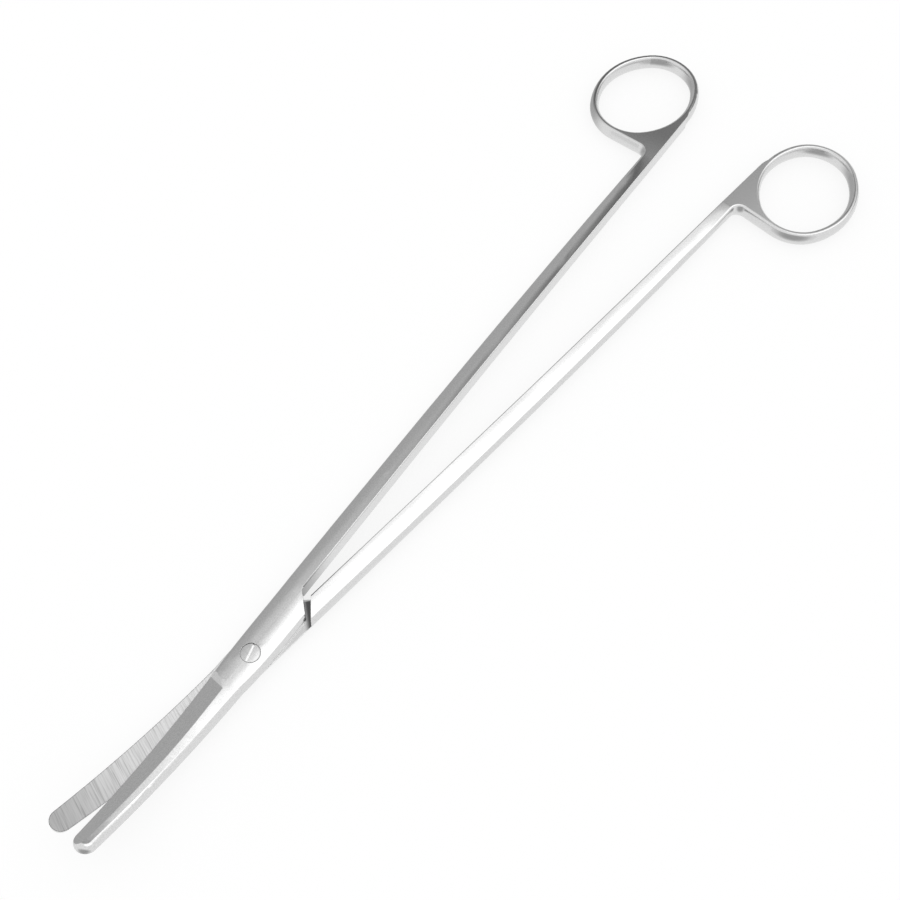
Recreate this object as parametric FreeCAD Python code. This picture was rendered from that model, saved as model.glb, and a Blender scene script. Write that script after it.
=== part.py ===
# Dissecting scissors: two long forged halves with finger rings that cross in a lap joint and turn
# on one slotted screw. The blades are curved on the flat and end in blunt round tips.
#
# Sizes are in millimetres. The pivot axis is Z, the finger rings point along +Y, and the scissors
# lie on the plane z = 0. Each half is drawn closed in its own frame, with its ring on the +X side,
# its blade's cutting edge facing +X and z = 0 at the lap, and is then turned open about the pivot.

import FreeCAD, Part

import math
import os

from FreeCAD import Placement, Rotation, Vector

# Whole tool
thickness = 4.9
opening_angle = 7.24
crown_radius = 10.0
side_radius = 3.0
corner_radius = 1.4
wall_edge_break = 0.25

# Shank: the flat inner wall bows away from the midline, the round outer side swells at its middle,
# and the thickness falls evenly towards the finger ring
shank_reach_joint = 4.6
shank_reach_middle = 5.13
shank_reach_web = 4.15
shank_fullest_y = 88.0
wall_offset_joint = 0.10
wall_offset_middle = 0.60
wall_middle_y = 108.0
flatten_length = 11.0

# Finger ring: an oval of four tangent arcs with an upright rounded section
finger_hole_width = 23.0
finger_hole_length = 28.7
ring_thickness = 4.2
ring_wire_width = 2.35
ring_end_tightness = 1.65
ring_midline_gap = 0.37
ring_centre_y = 189.4
ring_tilt = 10.0
ring_crest_flat = 0.2
ring_corner_radius = 0.7
web_corner_radius = 2.1
wall_end_drop = 0.9
wall_join_angle = 9.0

# Lap joint
lap_gap = 0.12
shoulder_y = 18.3
shoulder_gap = 0.32
shank_start_y = 19.0

# Blade
bend_start_y = -8.0
bend_radius = 125.0
tip_centre_y = -51.25
blade_back_root = 3.98
blade_back_tip = 2.9
blade_edge_root = 4.28
blade_edge_tip = 2.2
blade_tip_thickness = 2.0
edge_land = 0.3
ridge_root_x = -0.25
ridge_farthest_x = -0.72
ridge_farthest_y = -36.0
ridge_tip_x = -0.35
bevel_start_y = -9.7
runout_normal = Vector(0.43, -0.56, 0.71)

# Pivot screw
screw_head_diameter = 4.5
screw_rim_height = 0.5
screw_neck_diameter = 3.2
screw_clearance = 0.06
slot_width = 0.52
slot_depth = 0.7
slot_angle = 108.0


def bulge_radius(half_width, rise, end_radius):
    # Radius of an oval's side arc that is tangent to end arcs centred the rise away from its middle.
    return (half_width ** 2 + rise ** 2 - end_radius ** 2) / (2 * (half_width - end_radius))


# Sizes that follow from the ones above
half_thickness = thickness / 2
ring_half_thickness = ring_thickness / 2
wire_half = ring_wire_width / 2
ring_half_width = finger_hole_width / 2 + wire_half
ring_half_length = finger_hole_length / 2 + wire_half
ring_end_radius = ring_half_width - ring_end_tightness
crest_run = wire_half - ring_crest_flat / 2
corner_rise = ring_half_thickness - ring_corner_radius
ring_side_radius = bulge_radius(crest_run, corner_rise, ring_corner_radius)

# The oval: how far its end arcs and its flatter side arcs are centred from its middle
end_shift = ring_half_length - ring_end_radius
flat_radius = bulge_radius(ring_half_width, end_shift, ring_end_radius)
flat_shift = flat_radius - ring_half_width
tilt = math.radians(ring_tilt)
ring_centre_x = ring_midline_gap + wire_half + flat_radius - flat_shift * math.cos(tilt)
ring_centre = Vector(ring_centre_x, ring_centre_y, 0)

# The ring's lowest middle point and, below it, where the web's edge has turned into the shank
web_low_y = ring_centre_y - end_shift * math.cos(tilt) - ring_end_radius
web_start_y = web_low_y - web_corner_radius - wire_half

# Stations where sections are drawn, and room for cutting tools
shank_overrun = 8.0
shank_stations = 4
plate_stations = [shank_start_y, 9.0, 0.0, bend_start_y]
blade_stations = [bend_start_y, -14.0, -20.0, -28.0, -36.0, -44.0, tip_centre_y]
bevel_stations = [0.0, bend_start_y, -20.0, -32.0, -44.0, -58.0]
lap_skirt = 0.5
clear = 40.0


def arc(first, middle, last):
    return Part.Arc(first, middle, last).toShape()


def line(first, last):
    return Part.makeLine(first, last)


def arc_about(centre, first, last):
    # The shorter arc about a centre between two points on it.
    radius = first.sub(centre).Length
    middle = (first + last) * 0.5 - centre
    return arc(first, centre + middle.normalize() * radius, last)


def closed_section(edges, mirror_normals):
    # Repeats an open run of edges in its mirror images and joins them all into one outline.
    for normal in mirror_normals:
        edges = edges + [edge.mirror(Vector(), normal) for edge in edges]
    return Part.Wire(Part.sortEdges(edges)[0])


def outer_curve(reach, height):
    # A side arc about a centre on z = 0, out to (reach, 0), and the corner arc that is tangent to
    # it and to the crown arc, whose crest is at (0, height). Returns the side arc's centre and
    # end, the corner arc and its end on the crown.
    crown_centre = Vector(0, 0, height - crown_radius)
    side_centre = Vector(reach - side_radius, 0, 0)
    span = side_centre.sub(crown_centre)
    from_crown = crown_radius - corner_radius
    from_side = side_radius - corner_radius
    along = (span.Length ** 2 + from_crown ** 2 - from_side ** 2) / (2 * span.Length)
    across = math.sqrt(from_crown ** 2 - along ** 2)
    unit = Vector(span).normalize()
    corner_centre = crown_centre + unit * along + Vector(unit.z, 0, -unit.x) * across
    side_end = side_centre + corner_centre.sub(side_centre).normalize() * side_radius
    crown_end = crown_centre + corner_centre.sub(crown_centre).normalize() * crown_radius
    return side_centre, side_end, arc_about(corner_centre, side_end, crown_end), crown_end


def whole_side(reach, side_end):
    # The side arc from its lower end to its upper end.
    return arc(Vector(side_end.x, 0, -side_end.z), Vector(reach, 0, 0), side_end)


def closed_oval(side, upper_edges):
    # A whole side arc and the edges that close it above, repeated below.
    lower_edges = [edge.mirror(Vector(), Vector(0, 0, 1)) for edge in upper_edges]
    return closed_section([side] + upper_edges + lower_edges, [])


def quadratic(middle, end, middle_y, end_y, y):
    share = (y - middle_y) / (end_y - middle_y)
    return middle - (middle - end) * share ** 2


def shank_reach(y):
    if y < shank_fullest_y:
        return quadratic(shank_reach_middle, shank_reach_joint, shank_fullest_y, 0, y)
    return quadratic(shank_reach_middle, shank_reach_web, shank_fullest_y, web_start_y, y)


def wall_offset(y):
    return quadratic(wall_offset_middle, wall_offset_joint, wall_middle_y, shank_start_y, y)


def shank_height(y):
    # Half the shank's thickness, from the joint's to the finger ring's.
    share = (y - shank_start_y) / (web_start_y - shank_start_y)
    return half_thickness - (half_thickness - ring_half_thickness) * share


def shank_section(y):
    # Flat inner wall with slightly broken edges, crowned faces and a round outer side.
    height = shank_height(y)
    reach = shank_reach(y)
    side_centre, side_end, corner_arc, crown_end = outer_curve(reach, height)
    crown_centre = Vector(0, 0, height - crown_radius)
    wall = wall_offset(y)
    edge_x = wall + wall_edge_break
    edge_z = crown_centre.z + math.sqrt(crown_radius ** 2 - edge_x ** 2)
    edge_end = Vector(edge_x, 0, edge_z)
    wall_top = Vector(wall, 0, edge_z - wall_edge_break)
    upper_edges = [
        corner_arc,
        arc_about(crown_centre, crown_end, edge_end),
        line(edge_end, wall_top),
        line(wall_top, Vector(wall, 0, 0)),
    ]
    section = closed_oval(whole_side(reach, side_end), upper_edges)
    section.translate(Vector(0, y, 0))
    return section


def web_end_section():
    # The shank's last section: flat faces from the wall's edge to the edge bar's own side.
    bar = Vector(shank_reach_web - wire_half, 0, 0)
    side_end, corner, crest = wire_corner()
    wall = wall_offset(web_start_y)
    flat_end = Vector(wall + wall_edge_break, 0, ring_half_thickness)
    wall_top = Vector(wall, 0, ring_half_thickness - wall_edge_break)
    crest_end = bar + Vector(ring_crest_flat / 2, 0, ring_half_thickness)
    upper_edges = [
        corner.translated(bar),
        line(crest_end, flat_end),
        line(flat_end, wall_top),
        line(wall_top, Vector(wall, 0, 0)),
    ]
    section = closed_oval(whole_side(wire_half, side_end).translated(bar), upper_edges)
    section.translate(Vector(0, web_start_y, 0))
    return section


def make_shank():
    flatten_y = web_start_y - flatten_length
    step = (flatten_y - shank_start_y) / (shank_stations - 1)
    stations = [shank_start_y - shank_overrun]
    stations += [shank_start_y + step * i for i in range(shank_stations)]
    long_run = [shank_section(y) for y in stations]
    shank = Part.makeLoft(long_run, True, False)
    return shank.fuse(Part.makeLoft([long_run[-1], web_end_section()], True, True))


def wire_corner():
    # Where the side of the ring wire's section ends, its corner and half of the flat crest.
    crest_end = Vector(ring_crest_flat / 2, 0, ring_half_thickness)
    corner_centre = crest_end - Vector(0, 0, ring_corner_radius)
    side_centre = Vector(wire_half - ring_side_radius, 0, 0)
    side_end = side_centre + corner_centre.sub(side_centre).normalize() * ring_side_radius
    corner = arc_about(corner_centre, side_end, crest_end)
    crest = line(crest_end, Vector(0, 0, ring_half_thickness))
    return side_end, corner, crest


def make_wire_section():
    # An oval: two bulged sides, four corners and narrow flat crests.
    side_end, corner, crest = wire_corner()
    low_end = [edge.mirror(Vector(), Vector(0, 0, 1)) for edge in (corner, crest)]
    edges = [whole_side(wire_half, side_end), corner, crest] + low_end
    return closed_section(edges, [Vector(1, 0, 0)])


def from_ring_centre(along, across):
    # A point on the ring's plane, measured from its centre along and across its tilted long axis.
    x = across * math.cos(tilt) - along * math.sin(tilt)
    y = across * math.sin(tilt) + along * math.cos(tilt)
    return ring_centre + Vector(x, y, 0)


def oval_arcs():
    # The ring's middle line: four tangent arcs, each as its centre, first and last point.
    joint_angle = math.atan2(end_shift, flat_shift)
    joint_across = ring_end_radius * math.cos(joint_angle)
    joint_along = end_shift + ring_end_radius * math.sin(joint_angle)
    joints = [
        from_ring_centre(joint_along, joint_across),
        from_ring_centre(joint_along, -joint_across),
        from_ring_centre(-joint_along, -joint_across),
        from_ring_centre(-joint_along, joint_across),
    ]
    return [
        (from_ring_centre(end_shift, 0), joints[0], joints[1]),
        (from_ring_centre(0, flat_shift), joints[1], joints[2]),
        (from_ring_centre(-end_shift, 0), joints[2], joints[3]),
        (from_ring_centre(0, -flat_shift), joints[3], joints[0]),
    ]


def make_ring():
    ring = None
    for centre, first, last in oval_arcs():
        start = first.sub(centre)
        end = last.sub(centre)
        section = Part.Face(make_wire_section())
        section.rotate(Vector(), Vector(0, 0, 1), math.degrees(math.atan2(start.y, start.x)))
        section.translate(first)
        turn = math.degrees(start.getAngle(end))
        piece = section.revolve(centre, Vector(0, 0, 1), turn)
        ring = piece if ring is None else ring.fuse(piece)
    return ring


def lowest_ring_point():
    # The lowest point of the ring's middle line, where the web's lower edge leaves the ring.
    centre = oval_arcs()[2][0]
    return centre - Vector(0, ring_end_radius, 0)


def wall_join_point():
    # Where the slanted edge from the end of the flat inner wall runs into the ring's middle line.
    centre = oval_arcs()[1][0]
    angle = math.radians(wall_join_angle)
    return centre + Vector(-math.cos(angle), math.sin(angle), 0) * flat_radius


def make_web():
    # A flat plate between the shank, the ring's middle line and the edge bar, which carries the
    # ring's own section along the plate's lower side and round the inside corner to the shank.
    bar_end = lowest_ring_point()
    bar_x = shank_reach_web - wire_half
    turn_radius = web_corner_radius + wire_half
    bar_start = Vector(bar_x, web_start_y, 0)
    turn_centre = bar_start + Vector(turn_radius, 0, 0)
    turn_end = turn_centre + Vector(0, turn_radius, 0)
    turn = arc_about(turn_centre, bar_start, turn_end)

    wall_start = Vector(wall_offset(web_start_y), web_start_y, 0)
    wall_end = Vector(wall_start.x, ring_centre_y - wall_end_drop, 0)
    wall_join = wall_join_point()
    outline = Part.Wire([
        line(bar_start, wall_start),
        line(wall_start, wall_end),
        line(wall_end, wall_join),
        line(wall_join, ring_centre),
        line(ring_centre, bar_end),
        line(bar_end, turn_end),
        turn,
    ])
    plate = Part.Face(outline).extrude(Vector(0, 0, ring_thickness))
    plate.translate(Vector(0, 0, -ring_half_thickness))
    wall_edges = [edge for edge in plate.Edges if on_wall_edge(edge, wall_start.x)]
    plate = plate.makeChamfer(wall_edge_break, wall_edges)

    middle_line = Part.Wire([arc_about(*oval) for oval in oval_arcs()])
    hole = Part.Face(middle_line).extrude(Vector(0, 0, 2 * clear))
    hole.translate(Vector(0, 0, -clear))
    plate = plate.cut(hole)

    section = Part.Face(make_wire_section())
    curved_bar = section.copy()
    curved_bar.translate(bar_start)
    curved_bar = curved_bar.revolve(turn_centre, Vector(0, 0, 1), -90)
    section.rotate(Vector(), Vector(0, 0, 1), 90)
    section.translate(turn_end)
    straight_bar = section.extrude(bar_end.sub(turn_end))
    return plate.fuse([curved_bar, straight_bar])


def on_wall_edge(edge, wall_x):
    # True for the long top and bottom edges of the flat inner wall.
    box = edge.BoundBox
    at_wall = box.XMax < wall_x + wall_edge_break
    return at_wall and box.ZLength < wall_edge_break < box.YLength


def bend_angle(y):
    # Angle of the bend at a place given by the lap face's own y.
    return math.degrees(math.asin(max(bend_start_y - y, 0) / bend_radius))


def placed_on_bend(shape, y):
    # Moves a section drawn at y = 0 to its station: straight ahead, then round the bend.
    shape.translate(Vector(0, max(y, bend_start_y), 0))
    shape.rotate(Vector(0, bend_start_y, bend_radius), Vector(1, 0, 0), -bend_angle(y))
    return shape


def tapered(root, tip, y):
    return root + (tip - root) * (bend_start_y - y) / (bend_start_y - tip_centre_y)


def ridge_offset(y):
    # The bevel's ridge swings towards the blade's back and comes in again at the tip.
    if y > ridge_farthest_y:
        return quadratic(ridge_farthest_x, ridge_root_x, ridge_farthest_y, bend_start_y, y)
    return quadratic(ridge_farthest_x, ridge_tip_x, ridge_farthest_y, tip_centre_y, y)


def blade_form(y):
    # Half width, middle and thickness of the lap plate and blade at y.
    if y >= 0:
        return shank_reach(y), 0.0, half_thickness
    back = tapered(blade_back_root, blade_back_tip, y)
    edge = tapered(blade_edge_root, blade_edge_tip, y)
    height = tapered(half_thickness, blade_tip_thickness, y)
    return (back + edge) / 2, (edge - back) / 2, height


def blade_outline(y):
    # Right-hand half of the crowned section, with a skirt past the lap that is trimmed off later.
    half_width, middle, height = blade_form(y)
    side_centre, side_end, corner_arc, crown_end = outer_curve(half_width, height)
    crown_centre = Vector(0, 0, height - crown_radius)
    side_start = Vector(half_width, 0, 0)
    skirt_end = Vector(half_width, 0, -lap_skirt)
    edges = [
        line(Vector(0, 0, -lap_skirt), skirt_end),
        line(skirt_end, side_start),
        arc_about(side_centre, side_start, side_end),
        corner_arc,
        arc_about(crown_centre, crown_end, Vector(0, 0, height)),
    ]
    return edges, middle


def in_layer(shape, layer):
    # Shapes are drawn for the upper layer and mirrored for the lower one.
    return shape if layer > 0 else shape.mirror(Vector(), Vector(0, 0, 1))


def blade_section(y, layer):
    edges, middle = blade_outline(y)
    section = closed_section(edges, [Vector(1, 0, 0)])
    section.translate(Vector(middle, 0, 0))
    return placed_on_bend(in_layer(section, layer), y)


def make_blade(layer):
    # The lap plate and blade of one layer: +1 lies above the lap, -1 below it.
    plate = Part.makeLoft([blade_section(y, layer) for y in plate_stations], True, False)
    blade = Part.makeLoft([blade_section(y, layer) for y in blade_stations], True, False)

    # The round tip carries the same section on round its centre
    edges, middle = blade_outline(tip_centre_y)
    edges.append(line(Vector(0, 0, blade_tip_thickness), Vector(0, 0, -lap_skirt)))
    half_section = Part.Face(Part.Wire(Part.sortEdges(edges)[0]))
    dome = in_layer(half_section.revolve(Vector(), Vector(0, 0, 1), 360), layer)
    dome.translate(Vector(middle, 0, 0))
    blade = blade.fuse([plate, placed_on_bend(dome, tip_centre_y)])
    return blade.common(layer_space(layer)).cut(bevel_cutter(layer))


def bend_point(angle, offset):
    # A point of the lap's curve on x = 0, moved by an offset towards the bend's centre.
    radius = bend_radius - offset
    turn = math.radians(angle)
    y = bend_start_y - radius * math.sin(turn)
    return Vector(0, y, bend_radius - radius * math.cos(turn))


def layer_space(layer):
    # All the room on one side of the lap's curve, kept half the lap gap away from it.
    offset = layer * lap_gap / 2
    last_angle = bend_angle(tip_centre_y - 2 * blade_edge_root)
    start = Vector(0, clear, offset)
    bend = bend_point(0, offset)
    last = bend_point(last_angle, offset)
    outline = Part.Wire([
        line(start, bend),
        arc(bend, bend_point(last_angle / 2, offset), last),
        line(last, Vector(0, last.y, layer * clear)),
        line(Vector(0, last.y, layer * clear), Vector(0, clear, layer * clear)),
        line(Vector(0, clear, layer * clear), start),
    ])
    space = Part.Face(outline).extrude(Vector(2 * clear, 0, 0))
    space.translate(Vector(-clear, 0, 0))
    return space


def half_space(point, normal):
    # A block whose flat face passes through a point and that lies on the normal's side.
    block = Part.makeBox(2 * clear, 2 * clear, clear, Vector(-clear, -clear, 0))
    block.Placement = Placement(point, Rotation(Vector(0, 0, 1), normal))
    return block


def bevel_cutter(layer):
    # Everything above the flat ground bevel, which runs from the cutting edge to the ridge and
    # ends towards the joint in a steep run-out facet.
    sections = []
    for y in bevel_stations:
        edge_x = tapered(blade_edge_root, blade_edge_tip, y)
        ridge_x = ridge_offset(y)
        half_width, middle, height = blade_form(min(y, bend_start_y))
        ridge_z = height - crown_radius + math.sqrt(crown_radius ** 2 - (ridge_x - middle) ** 2)
        ridge = Vector(ridge_x, 0, layer * ridge_z)
        edge = Vector(edge_x, 0, layer * edge_land)
        past = (edge - ridge).normalize() * half_width
        first = ridge - past
        last = edge + past
        top = layer * 2 * thickness
        corners = [first, last, Vector(last.x, 0, top), Vector(first.x, 0, top), first]
        sections.append(placed_on_bend(Part.makePolygon(corners), y))
    cutter = Part.makeLoft(sections, True, False)
    start_z = crown_height_at_bevel_start(layer)
    normal = Vector(runout_normal.x, runout_normal.y, layer * runout_normal.z)
    return cutter.common(half_space(Vector(ridge_root_x, bevel_start_y, start_z), normal))


def crown_height_at_bevel_start(layer):
    height = blade_form(bevel_start_y)[2]
    lift = bend_point(bend_angle(bevel_start_y), 0).z
    return lift + layer * height


def prism(corners, bottom, top):
    outline = Part.makePolygon([Vector(x, y, bottom) for x, y in corners + corners[:1]])
    return Part.Face(outline).extrude(Vector(0, 0, top - bottom))


def make_half(layer):
    # One forging in its own frame, with its lap plate in the given layer.
    lap_face = layer * lap_gap / 2
    near_layer = sorted([lap_face, layer * thickness])
    far_layer = sorted([lap_face, -layer * thickness])
    wall = wall_offset_joint

    # The lap plate ends in a 45 degree edge beside the inner wall
    edge_line = shoulder_y - wall
    past_edge = [(wall, shoulder_y), (wall, clear), (-clear, clear), (-clear, edge_line - clear)]
    blade = make_blade(layer).cut(prism(past_edge, -thickness, thickness))

    # The full shank ends in a 45 degree shoulder that clears the other half's plate
    shoulder_line = edge_line + shoulder_gap * math.sqrt(2)
    before_shoulder = [
        (-clear, shoulder_line + clear),
        (clear, shoulder_line - clear),
        (-clear, -clear),
    ]
    before_start = [(-clear, shank_start_y), (clear, shank_start_y), (clear, 0), (-clear, 0)]
    shank = make_shank().cut([prism(before_shoulder, *far_layer), prism(before_start, *near_layer)])
    return blade.fuse([shank, make_web(), make_ring()]).removeSplitter()


def screw_body(gap):
    # The screw turned about Z: rim and cone of its head, then its neck, grown by a gap.
    head = screw_head_diameter / 2 + gap
    neck = screw_neck_diameter / 2 + gap
    rim_z = half_thickness - screw_rim_height
    neck_z = rim_z - (head - neck)
    corners = [(0, -half_thickness), (neck, -half_thickness), (neck, neck_z), (head, rim_z),
               (head, thickness), (0, thickness), (0, -half_thickness)]
    outline = Part.makePolygon([Vector(x, 0, z) for x, z in corners])
    return Part.Face(outline).revolve(Vector(), Vector(0, 0, 1), 360)


def make_screw():
    # The head is ground flush with the crown of the upper half, which it lies in.
    along_upper = Vector(0, 1, 0)
    crown_base = Vector(0, -thickness, half_thickness - crown_radius)
    crown = Part.makeCylinder(crown_radius, 2 * thickness, crown_base, along_upper)
    screw = screw_body(0).common(opened(crown, 1))
    slot_start = Vector(-screw_head_diameter, -slot_width / 2, half_thickness - slot_depth)
    slot = Part.makeBox(2 * screw_head_diameter, slot_width, thickness, slot_start)
    slot.rotate(Vector(), Vector(0, 0, 1), slot_angle)
    return screw.cut(slot)


def opened(shape, layer):
    # The upper half opens one way and the lower half the other, by half the opening each.
    shape.rotate(Vector(), Vector(0, 0, 1), layer * opening_angle / 2)
    return shape


def lap_holes():
    hole = screw_body(screw_clearance)
    stem = Part.makeCylinder(screw_neck_diameter / 2, thickness, Vector(0, 0, -thickness))
    return hole, stem


def main():
    clearance_hole, stem_hole = lap_holes()
    upper = opened(make_half(1).mirror(Vector(), Vector(1, 0, 0)), 1).cut(clearance_hole)
    lower = opened(make_half(-1), -1).cut(stem_hole)
    pieces = {"upper_half": upper, "lower_half": lower, "pivot_screw": make_screw()}
    os.makedirs("parts", exist_ok=True)
    for name, shape in pieces.items():
        solid = shape.Solids[0]
        solid.translate(Vector(0, 0, half_thickness))
        solid.exportStep(f"parts/{name}.step")


main()
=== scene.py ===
# dissecting scissors lying on a white table, seen from above
import math
import bpy
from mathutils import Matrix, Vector

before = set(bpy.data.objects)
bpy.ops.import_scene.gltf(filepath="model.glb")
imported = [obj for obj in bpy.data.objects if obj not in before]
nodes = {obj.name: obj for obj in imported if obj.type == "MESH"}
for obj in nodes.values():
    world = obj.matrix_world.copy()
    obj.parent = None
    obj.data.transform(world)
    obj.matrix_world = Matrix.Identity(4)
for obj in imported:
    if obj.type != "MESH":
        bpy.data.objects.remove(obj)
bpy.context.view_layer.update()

mm = 0.001
none, full = 0.0, 1.0
print("frame loaded:", ", ".join(sorted(nodes)))


# node helpers

def addNode(tree, kind, **values):
    node = tree.nodes.new(kind)
    for name, value in values.items():
        setattr(node, name, value)
    return node


def mathNode(tree, operation, first, second):
    node = addNode(tree, "ShaderNodeMath", operation=operation)
    for socket, value in zip(node.inputs, (first, second)):
        if isinstance(value, (int, float)):
            socket.default_value = value
        else:
            tree.links.new(value, socket)
    return node.outputs[0]


def productNode(tree, first, *others):
    for other in others:
        first = mathNode(tree, "MULTIPLY", first, other)
    return first


def dotNode(tree, first, second):
    node = addNode(tree, "ShaderNodeVectorMath", operation="DOT_PRODUCT")
    for socket, value in zip(node.inputs, (first, second)):
        if isinstance(value, Vector):
            socket.default_value = value
        else:
            tree.links.new(value, socket)
    return node.outputs["Value"]


def splitNode(tree, vector):
    node = addNode(tree, "ShaderNodeSeparateXYZ")
    tree.links.new(vector, node.inputs[0])
    return node.outputs


def rampNode(tree, factor, stops):
    node = addNode(tree, "ShaderNodeValToRGB")
    ramp = node.color_ramp
    while len(ramp.elements) < len(stops):
        ramp.elements.new(0.5)
    for element, (place, grey) in zip(ramp.elements, stops):
        element.position = place
        element.color = (grey, grey, grey, 1)
    tree.links.new(factor, node.inputs[0])
    return node.outputs[0]


def spanNode(tree, value, span, tones=(none, full)):
    # smooth step from the first tone to the second over the span
    node = addNode(tree, "ShaderNodeMapRange", interpolation_type="SMOOTHSTEP")
    tree.links.new(value, node.inputs["Value"])
    for socket, number in zip(("From Min", "From Max", "To Min", "To Max"), (*span, *tones)):
        node.inputs[socket].default_value = number
    return node.outputs["Result"]


def mixNode(tree, factor, first, second):
    node = addNode(tree, "ShaderNodeMix", data_type="RGBA")
    tree.links.new(factor, node.inputs["Factor"])
    for socket, color in (("A", first), ("B", second)):
        if isinstance(color, tuple):
            node.inputs[socket].default_value = (*color, 1)
        else:
            tree.links.new(color, node.inputs[socket])
    return node.outputs["Result"]


def edgeNode(tree, width, span):
    # the normal rolled over the edges, and a mask that is 1 there
    rolled = addNode(tree, "ShaderNodeBevel", samples=6)
    rolled.inputs["Radius"].default_value = width
    flat = addNode(tree, "ShaderNodeNewGeometry").outputs["Normal"]
    facing = dotNode(tree, rolled.outputs[0], flat)
    return rolled.outputs[0], spanNode(tree, facing, span, (full, none))


def ownCoords(tree):
    # place and normal in the piece's own axes, so that its marks ride with it
    coords = addNode(tree, "ShaderNodeTexCoord").outputs
    return coords["Object"], coords["Normal"]


def stretchedNoise(tree, scale, detail=3.0, turn=0.0):
    # scale is per metre along x, y and z, turn in degrees about z
    place = ownCoords(tree)[0]
    if turn:
        turned = addNode(tree, "ShaderNodeVectorRotate", rotation_type="Z_AXIS")
        turned.inputs["Angle"].default_value = math.radians(turn)
        tree.links.new(place, turned.inputs["Vector"])
        place = turned.outputs[0]
    mapping = addNode(tree, "ShaderNodeMapping")
    mapping.inputs["Scale"].default_value = scale
    tree.links.new(place, mapping.inputs["Vector"])
    noise = addNode(tree, "ShaderNodeTexNoise")
    noise.inputs["Scale"].default_value = 1.0
    noise.inputs["Detail"].default_value = detail
    noise.inputs["Roughness"].default_value = 0.6
    tree.links.new(mapping.outputs[0], noise.inputs["Vector"])
    return noise.outputs["Fac"]


# steel, where each function adds its marks to the color, roughness and height so far

def satinSteel(tree, look):
    # grain along the shanks, too fine to see as lines
    grain = stretchedNoise(tree, look["grain"])
    clouds = stretchedNoise(tree, look["clouds"], detail=2.0)
    least = look["rough"] - look["roughSpread"] / 2
    # edges catch the light as if rolled over by polishing, and a painted highlight makes them
    # brighter
    rolled, edgeHighlight = edgeNode(tree, look["edgeRoll"], look["edgeSpan"])
    speckle = spanNode(tree, grain, look["speckleSpan"], look["tints"])
    return {
        "normal": rolled,
        "color": mixNode(tree, edgeHighlight, speckle, look["edgeHighlightColor"]),
        "rough": mathNode(tree, "ADD", productNode(tree, clouds, look["roughSpread"]), least),
        "height": productNode(tree, grain, look["grainHeight"]),
    }


def addGrinding(tree, look, steel):
    # the flat lap face of the blade is ground across, seen as fine lines from edge to back
    place, normal = ownCoords(tree)
    at, way = splitNode(tree, place), splitNode(tree, normal)
    lapSide = productNode(tree, way["Z"], look["lapWay"])
    mask = productNode(
        tree,
        mathNode(tree, "GREATER_THAN", lapSide, look["lapFlat"]),
        mathNode(tree, "LESS_THAN", at["Y"], look["groundFrom"]),
    )
    marks = stretchedNoise(tree, look["marks"], detail=2.0, turn=look["marksTurn"])
    # the ground face gets darker towards the tip
    tipDark = spanNode(tree, at["Y"], look["tipDarkSpan"], look["tipDarkTones"])
    tone = productNode(tree, rampNode(tree, marks, look["markTones"]), tipDark)
    # painted shade: a dark hairline along the edges where the grinding ends
    edgeShade = edgeNode(tree, look["edgeShadeWidth"], look["edgeShadeSpan"])[1]
    tone = mixNode(tree, edgeShade, tone, look["edgeShade"])
    steel["color"] = mixNode(tree, mask, steel["color"], tone)
    markRough = productNode(tree, mask, look["markRough"])
    steel["rough"] = mathNode(tree, "ADD", steel["rough"], markRough)
    markHeight = productNode(tree, marks, mask, look["markHeight"])
    steel["height"] = mathNode(tree, "ADD", steel["height"], markHeight)


def addCornerShade(tree, look, steel):
    # painted shade in the corner under the shoulder, on the lap face, where the narrow gap is
    # dark
    place, normal = ownCoords(tree)
    at, way = splitNode(tree, place), splitNode(tree, normal)
    side = productNode(tree, at["X"], look["lapWay"])
    across, along = look["wallWay"]
    toWall = mathNode(
        tree, "ADD", productNode(tree, side, across), productNode(tree, at["Y"], along)
    )
    alongWall = mathNode(
        tree, "SUBTRACT", productNode(tree, side, along), productNode(tree, at["Y"], across)
    )
    lapLevel = mathNode(tree, "COMPARE", at["Z"], look["lapHeight"])
    lapLevel.node.inputs[2].default_value = look["lapNear"]
    lapSide = productNode(tree, way["Z"], look["lapWay"])
    corner = productNode(
        tree,
        spanNode(tree, toWall, look["cornerShadeReach"]),
        spanNode(tree, alongWall, look["cornerShadeStart"]),
        mathNode(tree, "GREATER_THAN", lapSide, look["lapFlat"]),
        lapLevel,
        look["cornerShadeMost"],
    )

    # and painted shade on the inner side wall of the shank next to it
    inward = productNode(tree, way["X"], look["lapWay"])
    wall = productNode(
        tree,
        spanNode(tree, at["Y"], look["wallShade"], (look["wallShadeMost"], none)),
        mathNode(tree, "LESS_THAN", inward, look["wallFacing"]),
        mathNode(tree, "GREATER_THAN", at["Y"], look["wallShade"][0]),
    )
    shaded = mathNode(tree, "MAXIMUM", corner, wall)
    steel["color"] = mixNode(tree, shaded, steel["color"], look["cornerShade"])


def addCrestShade(tree, look, steel):
    # painted shade: the crest of this finger ring is darker along its outer side, where its
    # reflection is dark
    place, normal = ownCoords(tree)
    at, way = splitNode(tree, place), splitNode(tree, normal)
    centreX, centreY = look["crestShadeCentre"]
    fromCentre = addNode(tree, "ShaderNodeVectorMath", operation="MULTIPLY_ADD")
    tree.links.new(place, fromCentre.inputs[0])
    fromCentre.inputs[1].default_value = (1, 1, 0)
    fromCentre.inputs[2].default_value = (-centreX, -centreY, 0)
    out = addNode(tree, "ShaderNodeVectorMath", operation="NORMALIZE")
    tree.links.new(fromCentre.outputs[0], out.inputs[0])
    crestShade = productNode(
        tree,
        spanNode(tree, dotNode(tree, out.outputs[0], normal), look["crestShadeOutward"]),
        spanNode(tree, way["Z"], look["crestShadeFrom"]),
        spanNode(tree, way["Z"], look["crestShadeTop"], look["crestShadeTopTones"]),
        spanNode(tree, at["Y"], look["crestShadeReach"]),
    )
    steel["color"] = mixNode(tree, crestShade, steel["color"], look["crestShadeColor"])


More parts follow.
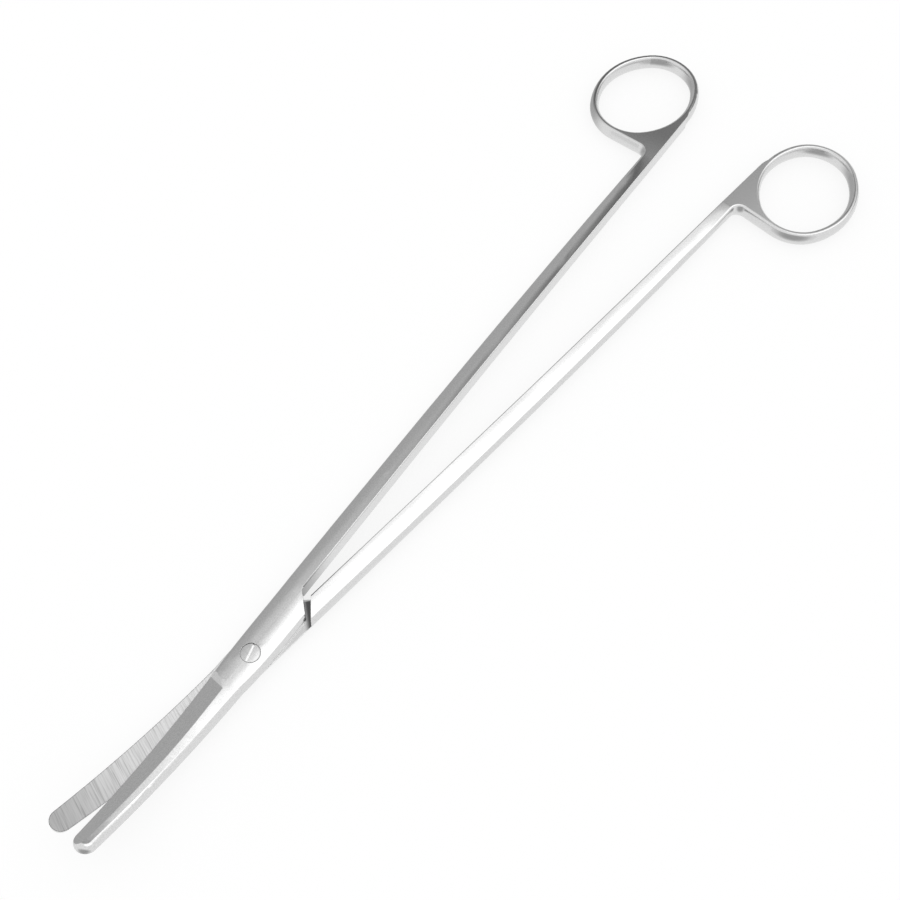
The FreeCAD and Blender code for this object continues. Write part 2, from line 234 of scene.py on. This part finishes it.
def addSeam(tree, look, steel):
    # the floor of the slot is coloured white, brighter than the head
    at = splitNode(tree, ownCoords(tree)[0])
    floor = mathNode(tree, "LESS_THAN", at["Z"], look["slotBelow"])
    steel["color"] = mixNode(tree, floor, steel["color"], look["slotColor"])

    # painted shade: a dark hairline in the crease where the head sits in its seat
    flat = addNode(tree, "ShaderNodeCombineXYZ")
    tree.links.new(at["X"], flat.inputs["X"])
    tree.links.new(at["Y"], flat.inputs["Y"])
    away = addNode(tree, "ShaderNodeVectorMath", operation="DISTANCE")
    tree.links.new(flat.outputs[0], away.inputs[0])
    away.inputs[1].default_value = look["seamCentre"]
    patches = stretchedNoise(tree, look["seamPatches"], detail=1.0)
    patches = rampNode(tree, patches, look["patchTones"])
    seamShade = mathNode(tree, "GREATER_THAN", away.outputs["Value"], look["seamFrom"])
    seamShade = productNode(tree, seamShade, patches)
    steel["color"] = mixNode(tree, seamShade, steel["color"], look["seamShadeColor"])


def makeSteel(name, look, marks):
    material = bpy.data.materials.new(name)
    material.use_nodes = True
    tree = material.node_tree
    shader = tree.nodes["Principled BSDF"]
    shader.inputs["Metallic"].default_value = 1.0
    steel = satinSteel(tree, look)
    for addMark in marks:
        addMark(tree, look, steel)

    bump = addNode(tree, "ShaderNodeBump")
    bump.inputs["Distance"].default_value = 1 * mm
    bump.inputs["Strength"].default_value = 1.0
    tree.links.new(steel["normal"], bump.inputs["Normal"])
    tree.links.new(steel["height"], bump.inputs["Height"])
    tree.links.new(bump.outputs[0], shader.inputs["Normal"])
    tree.links.new(steel["color"], shader.inputs["Base Color"])
    tree.links.new(steel["rough"], shader.inputs["Roughness"])
    return material


def dress(name, material):
    piece = nodes[name]
    piece.data.materials.clear()
    piece.data.materials.append(material)


halfLook = {
    "tints": (0.71, 0.81),
    "speckleSpan": (0.3, 0.7),
    "rough": 0.15,
    "roughSpread": 0.06,
    "grain": (4600, 2400, 4600),
    "grainHeight": 0.001,
    "clouds": (160, 60, 160),
    "edgeRoll": 0.14 * mm,
    "edgeSpan": (0.93, 0.995),
    # painted highlight colour along the edges
    "edgeHighlightColor": (1, 1, 1),
    "lapFlat": 0.85,
    "groundFrom": -7.5 * mm,
    "marks": (110, 3200, 110),
    "marksTurn": 18.0,
    "markHeight": 0.003,
    "markTones": ((0.30, 0.68), (0.5, 0.92), (0.7, 1.0)),
    "markRough": 0.38,
    "tipDarkSpan": (-53 * mm, -36 * mm),    # the tip is darker
    "tipDarkTones": (0.74, 1.0),
    # painted shade colour of the hairline along the ground face's edges
    "edgeShade": (0.06, 0.06, 0.06),
    "edgeShadeWidth": 0.35 * mm,
    "edgeShadeSpan": (0.80, 0.97),
    "lapHeight": 2.4 * mm,
    "lapNear": 0.2 * mm,
    "wallWay": (0.64, 0.77),             # the shoulder's wall runs slanting
    "cornerShadeReach": (12.4 * mm, 13.9 * mm),
    "cornerShadeStart": (-10.8 * mm, -10.3 * mm),
    "cornerShadeMost": 0.9,
    # colour of the painted shade in the corner under the shoulder
    "cornerShade": (0.03, 0.03, 0.03),
    "wallShade": (14 * mm, 31 * mm),
    "wallShadeMost": 0.75,
    "wallFacing": -0.5,
}
upperLook = dict(
    halfLook,
    lapWay=-1,                           # its lap face looks down
    crestShadeCentre=(-26.2 * mm, 188.1 * mm),
    crestShadeOutward=(-0.10, 0.02),
    crestShadeFrom=(0.72, 0.88),
    crestShadeTop=(0.990, 0.999),
    crestShadeTopTones=(1.0, 0.55),
    crestShadeReach=(170 * mm, 180 * mm),
    # colour of the painted shade on the ring crest
    crestShadeColor=(0.34, 0.34, 0.34),
)
lowerLook = dict(halfLook, lapWay=1)
dress("upper_half", makeSteel("upper_steel", upperLook, (addGrinding, addCornerShade, addCrestShade)))
dress("lower_half", makeSteel("lower_steel", lowerLook, (addGrinding, addCornerShade)))
print("halves finished")

screwLook = {
    "tints": (0.68, 0.78),
    "speckleSpan": (0.3, 0.7),
    "rough": 0.22,
    "roughSpread": 0.06,
    "grain": (3000, 3000, 3000),
    "grainHeight": 0.002,
    "clouds": (500, 500, 500),
    "edgeRoll": 0.08 * mm,
    "edgeSpan": (0.93, 0.995),
    # painted highlight colour along the edges
    "edgeHighlightColor": (0.9, 0.9, 0.9),
    "seamFrom": 2.15 * mm,
    "seamCentre": (-0.02 * mm, -0.12 * mm, 0),    # the seam is wider on one side
    "seamPatches": (350, 350, 350),
    "patchTones": ((0.4, 0.3), (0.6, 1.0)),
    # colour of the painted shade in the seam around the head
    "seamShadeColor": (0.02, 0.02, 0.02),
    "slotBelow": 4.45 * mm,
    "slotColor": (1, 1, 1),
}
dress("pivot_screw", makeSteel("screw_steel", screwLook, (addSeam,)))
print("screw finished")


# table and studio light

tableLook = {
    "reach": 3.0,
    "below": 0.02 * mm,
    "color": (1, 1, 1, 1),
    "rough": 0.9,
    "glow": 0.8,    # only the camera sees this, so the table is white and keeps the shadow
}


def makeTable(look):
    reach = look["reach"]
    mesh = bpy.data.meshes.new("table")
    corners = [(-reach, -reach, 0), (reach, -reach, 0), (reach, reach, 0), (-reach, reach, 0)]
    mesh.from_pydata(corners, [], [(0, 1, 2, 3)])
    table = bpy.data.objects.new("table", mesh)
    table.location.z = -look["below"]
    table.visible_glossy = False    # steel sees the studio, which goes on below the table's edge
    bpy.context.scene.collection.objects.link(table)

    material = bpy.data.materials.new("white_table")
    material.use_nodes = True
    tree = material.node_tree
    shader = tree.nodes["Principled BSDF"]
    shader.inputs["Base Color"].default_value = look["color"]
    shader.inputs["Roughness"].default_value = look["rough"]
    shader.inputs["Specular IOR Level"].default_value = 0.0
    glow = addNode(tree, "ShaderNodeEmission")
    cameraRay = addNode(tree, "ShaderNodeLightPath").outputs["Is Camera Ray"]
    mix = addNode(tree, "ShaderNodeMixShader")
    tree.links.new(productNode(tree, cameraRay, look["glow"]), mix.inputs[0])
    tree.links.new(shader.outputs[0], mix.inputs[1])
    tree.links.new(glow.outputs[0], mix.inputs[2])
    tree.links.new(mix.outputs[0], tree.nodes["Material Output"].inputs[0])
    mesh.materials.append(material)


# soft studio, heading is in degrees from +y towards +x and height is above the table
# a panel ends at the wide angle from its middle, is full inside the core and adds light or shade
studio = {
    "room": 0.9,
    "panels": (
        # dark side of the room
        {"heading": -70, "height": 0, "wide": 75, "core": 30, "adds": -0.45},
        # shade before the softbox
        {"heading": -20, "height": 50, "wide": 30, "core": 10, "adds": -0.5},
        # softbox over the far right
        {"heading": 25, "height": 60, "wide": 30, "core": 15, "adds": 0.6},
        # shade under the softbox
        {"heading": 20, "height": 25, "wide": 25, "core": 5, "adds": -0.5},
        # dark edge before the camera
        {"heading": 150, "height": -10, "wide": 50, "core": 10, "adds": -0.5},
    ),
}


def wayTo(heading, height):
    heading, height = math.radians(heading), math.radians(height)
    level = math.cos(height)
    return Vector((math.sin(heading) * level, math.cos(heading) * level, math.sin(height)))


def makeStudio(look):
    world = bpy.data.worlds.new("studio")
    bpy.context.scene.world = world
    world.use_nodes = True
    tree = world.node_tree
    tree.nodes.clear()
    direction = addNode(tree, "ShaderNodeTexCoord").outputs["Generated"]
    light = look["room"]
    for panel in look["panels"]:
        facing = dotNode(tree, direction, wayTo(panel["heading"], panel["height"]))
        reach = (math.cos(math.radians(panel["wide"])), math.cos(math.radians(panel["core"])))
        light = mathNode(tree, "ADD", spanNode(tree, facing, reach, (none, panel["adds"])), light)

    # reflections see the panels, all else is lit evenly
    glossLight = addNode(tree, "ShaderNodeBackground")
    tree.links.new(light, glossLight.inputs["Color"])
    whiteLight = addNode(tree, "ShaderNodeBackground")
    whiteLight.inputs["Color"].default_value = (1, 1, 1, 1)
    mix = addNode(tree, "ShaderNodeMixShader")
    tree.links.new(addNode(tree, "ShaderNodeLightPath").outputs["Is Glossy Ray"], mix.inputs[0])
    tree.links.new(whiteLight.outputs[0], mix.inputs[1])
    tree.links.new(glossLight.outputs[0], mix.inputs[2])
    tree.links.new(mix.outputs[0], addNode(tree, "ShaderNodeOutputWorld").inputs[0])


makeTable(tableLook)
makeStudio(studio)
print("table and light ready")


# camera at the photo's viewpoint

cameraView = {
    "aim": (0.7 * mm, 68.9 * mm, 0),
    "heading": 140.8,
    "height": 62.5,
    "distance": 315.8 * mm,
    "nearest": 10 * mm,
    "lens": 52.0,
    "sensor": 36.0,
}


def makeCamera(view):
    data = bpy.data.cameras.new("camera")
    data.lens = view["lens"]
    data.sensor_width = view["sensor"]
    data.clip_start = view["nearest"]
    camera = bpy.data.objects.new("camera", data)
    away = wayTo(view["heading"], view["height"])
    camera.location = Vector(view["aim"]) + away * view["distance"]
    camera.rotation_euler = away.to_track_quat("Z", "Y").to_euler()
    bpy.context.scene.collection.objects.link(camera)
    bpy.context.scene.camera = camera


makeCamera(cameraView)
bpy.context.scene.view_settings.view_transform = "Standard"
print("camera placed")
